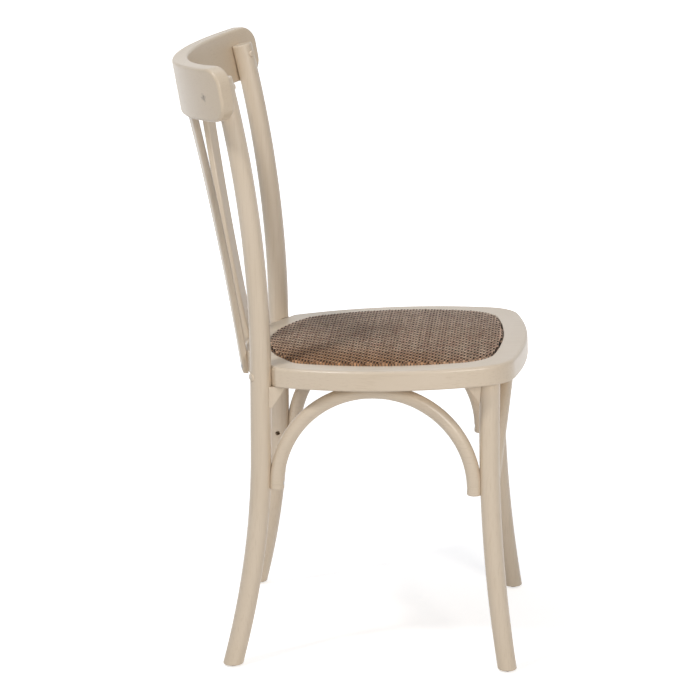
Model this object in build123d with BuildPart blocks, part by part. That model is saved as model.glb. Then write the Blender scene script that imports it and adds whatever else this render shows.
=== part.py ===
# Bentwood dining chair: round posts and legs, a bowed crest rail, two bent back slats,
# three bent arches under the seat and a woven seat panel on a plywood board.
# Millimetres. +Z is up, the front of the chair faces -Y, the sitter's left is +X.
# The origin is on the floor, under the middle of the chair's box.
import os
from math import asin, cos, degrees, radians, sin

from build123d import *

os.makedirs("parts", exist_ok=True)

# Clearances
fit = 0.25                  # air round a glued or housed wooden joint
screw_fit = 0.15            # air round a screw or bolt in its bore
board_gap = 0.8             # air round the plywood board in its pocket
panel_gap = 1.5             # shadow gap between the woven panel and the rim

# Overall
overall_depth = 512.0       # front of the seat to the back of the crest rail
glide_height = 3.0          # lift of the wooden feet off the floor

# Seat frame
seat_height = 433.5         # top of the rim at the middle of the chair
seat_tilt = 2.2             # degrees, the front is the high side
seat_width = 416.0          # across the widest place
seat_widest_setback = 179.0 # widest place behind the front edge
seat_thickness = 29.0
seat_depth = 410.0          # front edge to rear edge, at the middle
seat_front_taper = 31.0     # front corners in from the widest place, before they are rounded
seat_front_bow = 23.5       # front edge ahead of those corners
seat_front_corner_radius = 62.0
seat_rear_taper = 39.3      # rear ends of the sides in from the widest place
seat_side_depth = 353.3     # front edge to the rear ends of the sides
seat_flat_angle = 30.0      # degrees that the flats for the posts turn outwards
seat_flat_length = 66.0
seat_rear_corner_radius = 9.0
seat_top_arris = 5.0
seat_bottom_arris = 2.5
rim_width = 35.0
pocket_front_radius = 60.0
pocket_rear_radius = 26.0
pocket_arris = 1.5
ledge_width = 13.0          # ledge that carries the plywood board
pocket_depth = 12.0

# Woven panel and its plywood board
board_thickness = 6.0
panel_edge_rise = 3.0       # edge of the woven panel above the rim
panel_crown = 5.0           # middle of the panel above its edge
panel_arris = 3.0

# Rear posts
post_diameter = 30.0
post_foot_diameter = 28.0
post_top_diameter = 29.0
post_inset = 22.0           # from the end of the seat's side to the post, along the flat
post_notch = 3.0            # depth of the flat housing that takes the seat's corner
post_straight_low = 303.0   # the post is upright between these two heights
post_straight_high = 414.0
post_top_arris = 2.0
bend_sections = 5           # stations that each bend of a post or leg is drawn through
rear_foot_inset = 4.0       # middles of the rear feet in from the seat's widest place
rear_foot_kick = 38.5       # rear feet behind the posts at the seat

# Front legs
leg_top_diameter = 29.0
leg_foot_diameter = 27.0
leg_inset = 49.0            # tops of the legs in from the seat's widest place
leg_setback = 51.0          # tops of the legs behind the seat's front edge
leg_straight = 57.0         # straight length below the seat
front_foot_inset = 4.0      # middles of the front feet in from the seat's widest place
front_foot_kick = 30.0      # front feet ahead of the tops of the legs
foot_arris = 2.0
tenon_diameter = 18.0
tenon_length = 15.0

# Crest rail
rail_height = 76.0
rail_thickness = 23.0
rail_inner_radius = 288.0
rail_half_angle = 42.9      # degrees from the middle to each end
rail_lean = 10.0            # degrees
rail_back_top = 846.0       # height of the rail's top edge at the middle
rail_corner_radius = 27.0
rail_arris = 4.0
post_on_rail = 34.2         # degrees from the rail's middle to the posts
post_housing = 2.5          # depth that the rail's face cuts into the post
post_run_out = 6.0          # length that the housing runs on below the rail
post_above_screw = 15.0
crest_screw_rise = 1.0     # screws above the middle of the rail's height

# Back slats
slat_width = 28.0
slat_thickness = 10.0
slat_top_spread = 190.0
slat_foot_spread = 116.0
slat_setback = 3.0          # slats' middle behind the middle of the rail's thickness
slat_bow = 31.0             # how far the slats swing in towards each other
slat_mortise = 26.0
slat_arris = 3.2
slat_drop = 1.5             # slat ends below the seat frame
slat_planing = 2.8          # wedge planed off the slat's foot where it bears on the seat
slat_pad_depth = 0.7        # flat planed on the round rear edge for each slat
slat_sections = 6           # stations that the slat's bend is drawn through

# Arches
arch_diameter = 21.0
arch_end_height = 250.5
arch_housing = 1.5          # depth of the hollow that takes the leg
arch_flat = 1.5             # flat planed on the arch where it bears on the seat
arch_end_arris = 2.0
arch_least_straight = 1.0   # least straight run between the two bends
arch_end_straight = 4.0     # least straight run at each end
front_arch_lean = 7.0       # degrees that the front arch leans forward

# Corner blocks
block_length = 21.0
block_height = 30.0
block_width = 18.0

# Hardware
glide_diameter = 10.5
glide_arris = 1.5
glide_pin_diameter = 3.0
glide_pin_length = 14.0
bolt_diameter = 6.0
bolt_reach = 28.0           # bolt inside the seat frame
bolt_head_diameter = 13.0
bolt_head_rise = 3.0
bolt_dome = 2.6             # rounding of the bolt's head
bolt_spotface = 1.7
nut_diameter = 10.0
nut_length = 16.0
nut_setback = 20.0          # nut from the flat on the seat frame
screw_diameter = 4.0
screw_head_diameter = 8.0
screw_point = 1.2
screw_sink = 0.6            # flat heads below the wood's surface
screw_well = 12.0           # length of the way in for a screw's head
cap_diameter = 10.0
cap_rise = 1.6
cap_depth = 2.5
crest_screw_reach = 14.0    # screw inside the crest rail
slat_screw_spacing = 12.0
slat_screw_rise = 9.0       # screws above the slat's lower end
slat_screw_reach = 21.0     # screw inside the seat frame
arch_end_screw_rise = 9.0
arch_end_screw_reach = 13.0 # screw inside the leg
arch_top_screw_spacing = 30.0
arch_top_screw_reach = 15.0 # screw inside the seat frame
block_screw_share = 0.4     # screw from the bar to the block's tip
block_screw_reach = 14.0    # screw inside the seat frame
board_screw_diameter = 3.0
board_screw_head_diameter = 6.0
board_screw_reach = 4.5     # screw inside the plywood
board_screw_count = 8
board_screw_shift = 0.5     # first screw along the ledge, in steps
spare_bore_diameter = 7.0   # open bore on the inner face of each rear post
spare_bore_depth = 12.0
spare_bore_height = 252.0

post_radius = post_diameter / 2
arch_radius = arch_diameter / 2
tilt = radians(seat_tilt)
lean = radians(rail_lean)


# Frames that the pieces share
seat_up = Vector(0, sin(tilt), cos(tilt))
seat_back = Vector(0, cos(tilt), -sin(tilt))
seat_plane = Plane(origin=(0, 0, seat_height), x_dir=(1, 0, 0), z_dir=seat_up)
seat_under = seat_plane.offset(-seat_thickness)
seat_front_y = -(overall_depth / 2 - seat_thickness * sin(tilt)) / cos(tilt)
seat_rear_y = seat_front_y + seat_depth

rail_outer_radius = rail_inner_radius + rail_thickness
rail_up = Vector(0, sin(lean), cos(lean))
rail_back = Vector(0, cos(lean), -sin(lean))
rail_back_edge = Vector(0, overall_depth / 2, rail_back_top)
rail_centre = rail_back_edge - rail_up * (rail_height / 2) - rail_back * rail_outer_radius
rail_plane = Plane(origin=rail_centre, x_dir=(1, 0, 0), z_dir=rail_up)


def seat_point(x, y, drop=0.0):
    """A point of the seat, from the top of its rim, lowered square to the rim."""
    return seat_plane.from_local_coords(Vector(x, y, -drop))


def rail_point(radius, angle, rise):
    """A point on the crest rail's round, at an angle in radians from its middle."""
    return rail_plane.from_local_coords(Vector(radius * sin(angle), radius * cos(angle), rise))


def on_side(point, sign):
    """The same point or direction on the sitter's left (1) or right (-1)."""
    return Vector(sign * point.X, point.Y, point.Z)


# The seat's rear: two flats for the posts, and an arc between them
flat_turn = radians(seat_flat_angle)
side_end = Vector(seat_width / 2 - seat_rear_taper, seat_front_y + seat_side_depth)
flat_out = Vector(sin(flat_turn), cos(flat_turn))
flat_along = Vector(-cos(flat_turn), sin(flat_turn))
flat_end = side_end + flat_along * seat_flat_length
rear_sagitta = seat_rear_y - flat_end.Y
rear_radius = (flat_end.X**2 + rear_sagitta**2) / (2 * rear_sagitta)
rear_centre_y = seat_rear_y - rear_radius

# The posts stand against the flats, and swing out below and back above
post_on_flat = side_end + flat_along * post_inset
post_on_plan = post_on_flat + flat_out * (post_radius - post_notch)
post_at_seat = seat_point(post_on_plan.X, post_on_plan.Y, seat_thickness / 2)
bolt_axis = seat_plane.from_local_coords(flat_out) - seat_plane.origin
post_at_rail = rail_point(
    rail_inner_radius - post_radius + post_housing, radians(post_on_rail), crest_screw_rise
)
crest_axis = rail_point(1, radians(post_on_rail), 0) - rail_centre
post_top_height = post_at_rail.Z + post_above_screw
foot_swing = Vector(seat_width / 2 - rear_foot_inset - post_at_seat.X, rear_foot_kick)
crest_swing = Vector(post_at_rail.X - post_at_seat.X, post_at_rail.Y - post_at_seat.Y)
crest_run = post_at_rail.Z - post_straight_high


def post_centre(height):
    """Middle of the left rear post at a height."""
    swing = Vector(0, 0)
    if height < post_straight_low:
        swing = foot_swing * (1 - height / post_straight_low) ** 2
    if height > post_straight_high:
        swing = crest_swing * ((height - post_straight_high) / crest_run) ** 2
    return Vector(post_at_seat.X + swing.X, post_at_seat.Y + swing.Y, height)


# The front legs lean straight out to the sides, and bend forward to the feet
leg_top = seat_point(seat_width / 2 - leg_inset, seat_front_y + leg_setback, seat_thickness)
leg_lean = Vector(seat_width / 2 - front_foot_inset - leg_top.X, 0, -leg_top.Z)
leg_axis = leg_lean.normalized()
leg_bend_run = leg_lean.length - leg_straight


def leg_centre(run):
    """Middle of the left front leg, a run below the seat along its lean."""
    share = max(0.0, run - leg_straight) / leg_bend_run
    return leg_top + leg_axis * run - Vector(0, front_foot_kick * share**2, 0)


def leg_at_height(height):
    return leg_centre((height - leg_top.Z) / leg_axis.Z)


def leg_radius_at(height):
    share = height / leg_top.Z
    return (leg_foot_diameter + (leg_top_diameter - leg_foot_diameter) * share) / 2


# Tools and fasteners that several pieces share
def rod(start, direction, radius, length):
    """A round bar from a point along a direction."""
    with BuildPart(mode=Mode.PRIVATE) as bar:
        with BuildSketch(Plane(origin=start, z_dir=direction)):
            Circle(radius)
        extrude(amount=length)
    return bar.part


def countersunk(start, direction, length, diameter, head, air=0.0):
    """A countersunk screw from the middle of its head, or its bore when given air."""
    with BuildPart(mode=Mode.PRIVATE) as screw:
        with BuildSketch(Plane(origin=start, z_dir=direction)):
            Circle(head / 2 + air)
        extrude(amount=(head - diameter) / 2, taper=45)
        with BuildSketch(Plane(origin=start, z_dir=direction)):
            Circle(diameter / 2 + air)
        extrude(amount=length + air)
        if air == 0:
            point = screw.edges().filter_by(GeomType.CIRCLE).sort_by_distance(start)[-1]
            chamfer(point, length=2 * screw_point, length2=screw_point)
    return screw.part


def cross_plane(path, place, seam):
    """A plane across a path, turned so that a round bar's seam lies on the side seam."""
    along = path % place
    return Plane(origin=path @ place, x_dir=seam - along * seam.dot(along), z_dir=along)


def bent_round(path, start_radius, end_radius, seam):
    """A round bar along a bend, tapered from one radius to another."""
    with BuildPart(mode=Mode.PRIVATE) as bar:
        for step in range(bend_sections):
            share = step / (bend_sections - 1)
            with BuildSketch(cross_plane(path, share, seam)):
                Circle(start_radius + (end_radius - start_radius) * share)
        loft()
    return bar.part


def seat_outline(inset, front_radius, rear_radius):
    """The seat's outline, drawn in by an inset, with its corners rounded."""
    with BuildSketch(mode=Mode.PRIVATE) as outline:
        with BuildLine():
            front = Vector(seat_width / 2 - seat_front_taper, seat_front_y + seat_front_bow)
            widest = Vector(seat_width / 2, seat_front_y + seat_widest_setback)
            ThreePointArc(on_side(front, -1), (0, seat_front_y), front)
            ThreePointArc(front, widest, side_end)
            Line(side_end, flat_end)
            ThreePointArc(flat_end, (0, seat_rear_y), on_side(flat_end, -1))
            Line(on_side(flat_end, -1), on_side(side_end, -1))
            ThreePointArc(on_side(side_end, -1), on_side(widest, -1), on_side(front, -1))
        make_face()
        if inset:
            offset(amount=-inset, mode=Mode.REPLACE)
        corners = outline.vertices().group_by(Axis.Y)
        fillet(corners[0], front_radius)
        corners = outline.vertices().sort_by(Axis.Y)
        fillet(corners[-4:], rear_radius)
    return outline.sketch


def write(part, name):
    """Label a finished piece and write its file."""
    part.label = name
    export_step(part, f"parts/{name}.step")


def write_pair(left_part, name):
    """Write a piece of the sitter's left, and its mirror image on the right."""
    with BuildPart() as right_piece:
        mirror(left_part, about=Plane.YZ)
    write(left_part, f"{name}_left")
    write(right_piece.part, f"{name}_right")


def write_group(pieces, name):
    """Write identical fasteners as one group of separate solids."""
    with BuildPart() as group:
        for piece in pieces:
            add(piece)
    write(group.part, name)


def both_sides(pieces):
    """Pieces of the sitter's left with their mirror images."""
    images = [mirror(piece, about=Plane.YZ) for piece in pieces]
    return pieces + images


# Middle lines and round bars of the left post and leg; the bars with air cut the hollows
foot_spare = post_diameter / 2
bar_seam = Vector(1, -1, 0)
foot_end = post_centre(-foot_spare)
low_bend = post_centre(post_straight_low)
high_bend = post_centre(post_straight_high)
top_end = post_centre(post_top_height)
with BuildLine() as post_low_line:
    Bezier(low_bend, Vector(low_bend.X, low_bend.Y, (low_bend.Z + foot_end.Z) / 2), foot_end)
with BuildLine() as post_high_line:
    Bezier(high_bend, Vector(high_bend.X, high_bend.Y, (high_bend.Z + top_end.Z) / 2), top_end)
with BuildLine() as leg_line:
    leg_low = leg_lean.length + foot_spare
    Bezier(
        leg_centre(leg_straight),
        leg_top + leg_axis * (leg_straight + leg_low) / 2,
        leg_centre(leg_low),
    )


def post_bar(air):
    """The round bar of the left rear post: upright at the seat, bent and tapered both ways."""
    radius = post_radius + air
    low = bent_round(post_low_line.wire(), radius, post_foot_diameter / 2 + air, bar_seam)
    high = bent_round(post_high_line.wire(), radius, post_top_diameter / 2 + air, bar_seam)
    upright_length = post_straight_high - post_straight_low
    upright = rod(low_bend, (0, 0, 1), radius, upright_length)
    return low + upright + high


def leg_bar(air):
    """The round bar of the left front leg, straight below the seat and bent below that."""
    top_radius = leg_top_diameter / 2 + air
    bent = bent_round(leg_line.wire(), top_radius, leg_foot_diameter / 2 + air, bar_seam)
    straight = rod(leg_top - leg_axis * leg_straight, leg_axis, top_radius, 2 * leg_straight)
    return bent + straight


post_hollow = post_bar(fit)
leg_hollow = leg_bar(fit)

# Rooms that the crest rail and the seat frame take out of the posts
with BuildPart() as rail_room:
    with BuildSketch(rail_plane.offset(-rail_height / 2 - post_run_out)):
        Circle(rail_outer_radius)
        Circle(rail_inner_radius - fit, mode=Mode.SUBTRACT)
    extrude(amount=rail_height + post_run_out + fit)
with BuildPart() as seat_room:
    with BuildSketch(seat_plane.offset(fit)):
        add(seat_outline(0, seat_front_corner_radius, seat_rear_corner_radius))
    extrude(amount=-seat_thickness - 2 * fit)


# Arches: a bent round bar between two legs, with its planed top against the seat frame
def arch_path(plane, half_span, rise):
    """Middle line of an arch in its own plane, up one side, over and down the other."""
    bend = min(half_span - arch_least_straight, rise - arch_end_straight)
    shoulder = rise - bend
    eighth = bend * (1 - cos(radians(45)))
    with BuildLine(plane, mode=Mode.PRIVATE) as line:
        Line((-half_span, 0), (-half_span, shoulder))
        ThreePointArc(
            (-half_span, shoulder), (-half_span + eighth, rise - eighth), (-half_span + bend, rise)
        )
        Line((-half_span + bend, rise), (half_span - bend, rise))
        ThreePointArc(
            (half_span - bend, rise), (half_span - eighth, rise - eighth), (half_span, shoulder)
        )
        Line((half_span, shoulder), (half_span, 0))
    return line.wire()


def rise_to_seat(plane):
    """Rise of an arch's middle line, so that its planed top bears on the seat frame."""
    height = -seat_under.to_local_coords(plane.origin).Z
    return height / plane.y_dir.dot(seat_up) + arch_flat - arch_radius


def sunk_screw(start, direction, length):
    """A countersunk wood screw, its bore, and the well that its head came in by."""
    screw = countersunk(start, direction, length, screw_diameter, screw_head_diameter)
    bore = countersunk(start, direction, length, screw_diameter, screw_head_diameter, screw_fit)
    well = rod(start, -direction, screw_head_diameter / 2 + screw_fit, screw_well)
    return screw, bore, well


def end_screw(plane, half_span, way):
    """Screw through an arch's end into the leg; way is -1 or 1 along the arch."""
    inner = half_span - arch_radius + screw_sink
    start = plane.from_local_coords(Vector(way * inner, arch_end_screw_rise))
    length = arch_diameter - arch_housing - screw_sink + arch_end_screw_reach
    return sunk_screw(start, plane.x_dir * way, length)


def top_screw(plane, rise, way):
    """Screw up through an arch's top into the seat frame; way is -1 or 1 along the arch."""
    inner = rise - arch_radius + screw_sink
    start = plane.from_local_coords(Vector(way * arch_top_screw_spacing / 2, inner))
    length = arch_diameter - arch_flat - screw_sink + arch_top_screw_reach
    return sunk_screw(start, plane.y_dir, length)


def arch_bar(plane, half_span, rise):
    """The round bar of an arch, with rounded ends and its top planed to the seat."""
    path = arch_path(plane, half_span, rise)
    with BuildPart(mode=Mode.PRIVATE) as arch:
        with BuildSketch(cross_plane(path, 0, plane.z_dir)):
            Circle(arch_radius)
        sweep(path=path)
        fillet(arch.faces().filter_by(GeomType.PLANE).edges(), arch_end_arris)
        split(bisect_by=seat_under, keep=Keep.BOTTOM)
    return arch.part


# Side arches, from a front leg back to a rear post
at_post = post_centre(arch_end_height)
at_leg = leg_at_height(arch_end_height)
along = (at_post - at_leg).normalized()
leg_reach = leg_radius_at(arch_end_height) + arch_radius - arch_housing
front_end = at_leg + along * leg_reach
rear_end = at_post - along * (post_radius + arch_radius - arch_housing)
side_half_span = (rear_end - front_end).length / 2
side_plane = Plane(
    origin=(front_end + rear_end) / 2, x_dir=along, z_dir=along.cross(Vector(0, 0, 1))
)
side_rise = rise_to_seat(side_plane)
side_to_leg = end_screw(side_plane, side_half_span, -1)
side_to_post = end_screw(side_plane, side_half_span, 1)
side_tops = [top_screw(side_plane, side_rise, way) for way in (-1, 1)]
side_cuts = [post_hollow, leg_hollow]
for screw, bore, well in [side_to_leg, side_to_post] + side_tops:
    side_cuts += [bore, well]
for side, sign in (("left", 1), ("right", -1)):
    side_along = on_side(along, sign)
    plane = Plane(
        origin=on_side(side_plane.origin, sign),
        x_dir=side_along,
        z_dir=side_along.cross(Vector(0, 0, 1)),
    )
    bar = arch_bar(plane, side_half_span, side_rise)
    cuts = side_cuts if sign > 0 else [mirror(cut, about=Plane.YZ) for cut in side_cuts]
    with BuildPart() as side_arch:
        add(bar)
        add(cuts, mode=Mode.SUBTRACT)
    write(side_arch.part, f"side_arch_{side}")

# Front arch, between the front legs, leaning forward to the seat's front rail
front_half_span = at_leg.X - leg_reach
front_turn = radians(front_arch_lean)
front_plane = Plane(
    origin=(0, at_leg.Y, arch_end_height),
    x_dir=(1, 0, 0),
    z_dir=(0, -cos(front_turn), -sin(front_turn)),
)
front_rise = rise_to_seat(front_plane)
front_to_left = end_screw(front_plane, front_half_span, 1)
front_to_right = end_screw(front_plane, front_half_span, -1)
front_tops = [top_screw(front_plane, front_rise, way) for way in (-1, 1)]
front_bar = arch_bar(front_plane, front_half_span, front_rise)
with BuildPart() as front_arch:
    add(front_bar)
    add(both_sides([leg_hollow]), mode=Mode.SUBTRACT)
    for screw, bore, well in [front_to_left, front_to_right] + front_tops:
        add([bore, well], mode=Mode.SUBTRACT)
write(front_arch.part, "front_arch")

end_screws = both_sides([side_to_leg[0], side_to_post[0]]) + [front_to_left[0], front_to_right[0]]
write_group(end_screws, "arch_end_screws")
top_screws = both_sides([screw for screw, bore, well in side_tops])
top_screws += [screw for screw, bore, well in front_tops]
write_group(top_screws, "arch_top_screws")
arch_top_bores = both_sides([bore for screw, bore, well in side_tops])
arch_top_bores += [bore for screw, bore, well in front_tops]

# Back slats: bent flat strips from the seat's rear edge up into the crest rail
slat_on_rail = rail_inner_radius + rail_thickness / 2 + slat_setback
slat_top_angle = asin(slat_top_spread / 2 / slat_on_rail)
slat_foot_angle = asin(slat_foot_spread / 2 / rear_radius)
pad_out = Vector(sin(slat_foot_angle), cos(slat_foot_angle))
pad_across = Vector(pad_out.Y, -pad_out.X)
pad_on_plan = Vector(0, rear_centre_y) + pad_out * (rear_radius - slat_pad_depth)
slat_low_on_plan = pad_on_plan + pad_out * (slat_thickness / 2 - slat_planing)
slat_low = seat_point(slat_low_on_plan.X, slat_low_on_plan.Y, seat_thickness + slat_drop)
slat_top = rail_point(slat_on_rail, slat_top_angle, slat_mortise - rail_height / 2)
slat_rise = slat_top.Z - slat_low.Z


def slat_middle(share):
    """Middle of the left slat at a share of its height."""
    bow = Vector(4 * slat_bow * share * (1 - share), 0, 0)
    return slat_low + (slat_top - slat_low) * share - bow


def slat_bar(air):
    """The left slat before its foot is planed, lengthened at the top by its air."""
    with BuildPart(mode=Mode.PRIVATE) as bar:
        for step in range(slat_sections):
            share = step / (slat_sections - 1)
            turn = slat_foot_angle + (slat_top_angle - slat_foot_angle) * share
            spot = slat_middle(share) + Vector(0, 0, air * share)
            with BuildSketch(Plane(origin=spot, x_dir=(cos(turn), -sin(turn), 0), z_dir=(0, 0, 1))):
                RectangleRounded(slat_width + 2 * air, slat_thickness + 2 * air, slat_arris + air)
        loft()
    return bar.part


# The slat swings inwards behind the seat, so the flat on the seat is wider than the slat
seat_share = (seat_thickness + slat_drop) / slat_rise
pad_width = slat_width + 2 * (slat_low - slat_middle(seat_share)).X
slat_slope = (slat_top.Y - slat_low.Y) / slat_rise
screw_stand_off = slat_thickness - slat_planing + slat_slope * slat_screw_rise - screw_sink
into_seat = seat_plane.origin - seat_plane.from_local_coords(pad_out)
slat_fixings = []
for place in (-0.5, 0.5):
    on_plan = pad_on_plan + pad_out * screw_stand_off + pad_across * slat_screw_spacing * place
    start = seat_point(on_plan.X, on_plan.Y, seat_thickness + slat_drop - slat_screw_rise)
    slat_fixings.append(sunk_screw(start, into_seat, screw_stand_off + slat_screw_reach))

slat_whole = slat_bar(0)
slat_room = slat_bar(fit)
with BuildPart() as back_slat:
    add(slat_whole)
    with BuildSketch(seat_plane.offset(seat_thickness)):
        with Locations(Location(pad_on_plan - pad_out * seat_thickness, -degrees(slat_foot_angle))):
            Rectangle(2 * pad_width, 2 * seat_thickness)
    extrude(amount=-3 * seat_thickness, mode=Mode.SUBTRACT)
    for screw, bore, well in slat_fixings:
        add([bore, well], mode=Mode.SUBTRACT)
write_pair(back_slat.part, "back_slat")
write_group(both_sides([screw for screw, bore, well in slat_fixings]), "slat_screws")
slat_bores = both_sides([bore for screw, bore, well in slat_fixings])

# Crest rail, bowed round the sitter's back, with the screws that hold it to the posts
cap_face = post_at_rail - crest_axis * post_radius
crest_start = cap_face + crest_axis * cap_depth
crest_length = post_diameter - post_housing - cap_depth + crest_screw_reach
crest_screw, crest_bore = sunk_screw(crest_start, crest_axis, crest_length)[:2]
cap_bore = rod(crest_start, -crest_axis, cap_diameter / 2 + screw_fit, screw_well)
write_group(both_sides([crest_screw]), "crest_screws")

with BuildPart() as crest_cap:
    with BuildSketch(Plane(origin=crest_start, z_dir=-crest_axis)):
        Circle(cap_diameter / 2)
    extrude(amount=cap_depth + cap_rise)
    fillet(crest_cap.edges().sort_by_distance(crest_start)[-1], cap_rise)
write_group(both_sides([crest_cap.part]), "crest_screw_caps")

end_turn = radians(rail_half_angle)
end_way = Vector(sin(end_turn), cos(end_turn))
inner_end = end_way * rail_inner_radius
outer_end = end_way * rail_outer_radius
with BuildPart() as crest_rail:
    with BuildSketch(rail_plane):
        with BuildLine():
            ThreePointArc(on_side(inner_end, -1), (0, rail_inner_radius), inner_end)
            Line(inner_end, outer_end)
            ThreePointArc(outer_end, (0, rail_outer_radius), on_side(outer_end, -1))
            Line(on_side(outer_end, -1), on_side(inner_end, -1))
        make_face()
    extrude(amount=rail_height / 2, both=True)
    end_faces = crest_rail.faces().filter_by(GeomType.PLANE).sort_by(Axis.X)
    end_edges = end_faces[0].edges() + end_faces[-1].edges()
    fillet(end_edges.filter_by(lambda edge: abs(edge.length - rail_thickness) < fit), rail_corner_radius)
    round_faces = crest_rail.faces().sort_by(SortBy.AREA)[-2:]
    fillet(round_faces.edges(), rail_arris)
    add(both_sides([slat_room, crest_bore]), mode=Mode.SUBTRACT)
write(crest_rail.part, "crest_rail")

# Rear posts, each one bent bar from the floor to the crest rail
bolt_face = post_at_seat + bolt_axis * (post_radius - bolt_spotface)
bolt_length = post_diameter - bolt_spotface - post_notch + bolt_reach
bolt_bore = rod(bolt_face, -bolt_axis, bolt_diameter / 2 + screw_fit, bolt_length + screw_fit)
bolt_well = rod(bolt_face, bolt_axis, bolt_head_diameter / 2 + screw_fit, screw_well)
pin_bore_radius = glide_pin_diameter / 2 + screw_fit
rear_foot = post_centre(glide_height)
front_foot = leg_at_height(glide_height)
rear_pin_bore = rod(rear_foot, (0, 0, 1), pin_bore_radius, glide_pin_length + screw_fit)
front_pin_bore = rod(front_foot, (0, 0, 1), pin_bore_radius, glide_pin_length + screw_fit)
spare_start = post_centre(spare_bore_height) - Vector(post_radius, 0, 0)
spare_bore = rod(spare_start, (1, 0, 0), spare_bore_diameter / 2, spare_bore_depth)
post_whole = post_bar(0)
with BuildPart() as rear_post:
    add(post_whole)
    split(bisect_by=Plane.XY.offset(glide_height), keep=Keep.TOP)
    fillet(rear_post.edges().sort_by(Axis.Z)[0], foot_arris)
    fillet(rear_post.edges().sort_by(Axis.Z)[-1], post_top_arris)
    add([rail_room.part, seat_room.part], mode=Mode.SUBTRACT)
    add([bolt_bore, bolt_well, crest_bore, cap_bore], mode=Mode.SUBTRACT)
    add([side_to_post[1], rear_pin_bore, spare_bore], mode=Mode.SUBTRACT)
write_pair(rear_post.part, "rear_post")

# Front legs, with a round tenon in the seat frame
tenon_start = leg_top + leg_axis * tenon_length
tenon = rod(tenon_start, -leg_axis, tenon_diameter / 2, 2 * tenon_length)
tenon_room = rod(tenon_start, -leg_axis, tenon_diameter / 2 + fit, 2 * tenon_length + fit)
leg_whole = leg_bar(0)
with BuildPart() as front_leg:
    add(leg_whole)
    split(bisect_by=Plane.XY.offset(glide_height), keep=Keep.TOP)
    fillet(front_leg.edges().sort_by(Axis.Z)[0], foot_arris)
    split(bisect_by=seat_under, keep=Keep.BOTTOM)
    add(tenon)
    add([front_pin_bore, side_to_leg[1], front_to_left[1]], mode=Mode.SUBTRACT)
write_pair(front_leg.part, "front_leg")


# Corner blocks, glued and screwed under the seat against each post and leg
def block_frame(corner, away):
    """A block's own plane: along the seat away from the bar, and up to the seat."""
    return Plane(origin=corner, x_dir=away, z_dir=away.cross(seat_up))


def block_fixing(plane, bar_radius):
    """The screw up through a block into the seat frame."""
    head_y = -block_height * (1 - block_screw_share) * block_screw_share
    start = plane.from_local_coords(Vector(bar_radius + block_length * block_screw_share, head_y))
    return sunk_screw(start, seat_up, block_screw_reach - head_y)


rear_corner = seat_point(post_on_plan.X, post_on_plan.Y, seat_thickness)
blocks = (
    ("rear_block", block_frame(rear_corner, -seat_back), post_radius, post_hollow),
    ("front_block", block_frame(leg_top, seat_back), leg_top_diameter / 2, leg_hollow),
)
block_fixings = []
for name, plane, bar_radius, hollow in blocks:
    fixing = block_fixing(plane, bar_radius)
    block_fixings.append(fixing)
    with BuildPart() as block:
        with BuildSketch(plane):
            with BuildLine():
                tip = bar_radius + block_length
                Polyline((0, 0), (tip, 0), (bar_radius, -block_height), (0, -block_height), close=True)
            make_face()
        extrude(amount=block_width / 2, both=True)
        add([hollow, fixing[1], fixing[2]], mode=Mode.SUBTRACT)
    write_pair(block.part, name)
write_group(both_sides([screw for screw, bore, well in block_fixings]), "block_screws")
block_bores = both_sides([bore for screw, bore, well in block_fixings])

# Bolts that pull the seat's corners into the posts, with barrel nuts in the seat frame
with BuildPart() as seat_bolt:
    with BuildSketch(Plane(origin=bolt_face, z_dir=bolt_axis)):
        Circle(bolt_head_diameter / 2)
    extrude(amount=bolt_head_rise)
    fillet(seat_bolt.edges().sort_by_distance(bolt_face)[-1], bolt_dome)
    with BuildSketch(Plane(origin=bolt_face, z_dir=-bolt_axis)):
        Circle(bolt_diameter / 2)
    extrude(amount=bolt_length)
write_group(both_sides([seat_bolt.part]), "seat_bolts")

nut_middle = post_at_seat - bolt_axis * (post_radius - post_notch + nut_setback)
nut_low = nut_middle - seat_up * nut_length / 2
nut_mouth = nut_low - seat_up * seat_thickness
nut_room = rod(nut_mouth, seat_up, nut_diameter / 2 + screw_fit, seat_thickness + nut_length + screw_fit)
with BuildPart() as barrel_nut:
    with BuildSketch(Plane(origin=nut_low, z_dir=seat_up)):
        Circle(nut_diameter / 2)
    extrude(amount=nut_length)
    add(bolt_bore, mode=Mode.SUBTRACT)
write_group(both_sides([barrel_nut.part]), "barrel_nuts")

# Plywood board on the ledge, held by screws from below
board_plane = seat_plane.offset(-pocket_depth)
ledge_line = seat_outline(rim_width + ledge_width / 2, pocket_front_radius, pocket_rear_radius).wires()[0]
board_screw_length = seat_thickness - pocket_depth + board_screw_reach
board_screws = []
board_bores = []
for number in range(board_screw_count):
    on_plan = ledge_line @ ((number + board_screw_shift) / board_screw_count)
    start = seat_point(on_plan.X, on_plan.Y, seat_thickness)
    board_screw = (start, seat_up, board_screw_length, board_screw_diameter, board_screw_head_diameter)
    board_screws.append(countersunk(*board_screw))
    board_bores.append(countersunk(*board_screw, screw_fit))
write_group(board_screws, "board_screws")

with BuildPart() as seat_board:
    with BuildSketch(board_plane):
        add(seat_outline(rim_width + board_gap, pocket_front_radius, pocket_rear_radius))
    extrude(amount=board_thickness)
    add(board_bores, mode=Mode.SUBTRACT)
write(seat_board.part, "seat_board")

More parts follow.
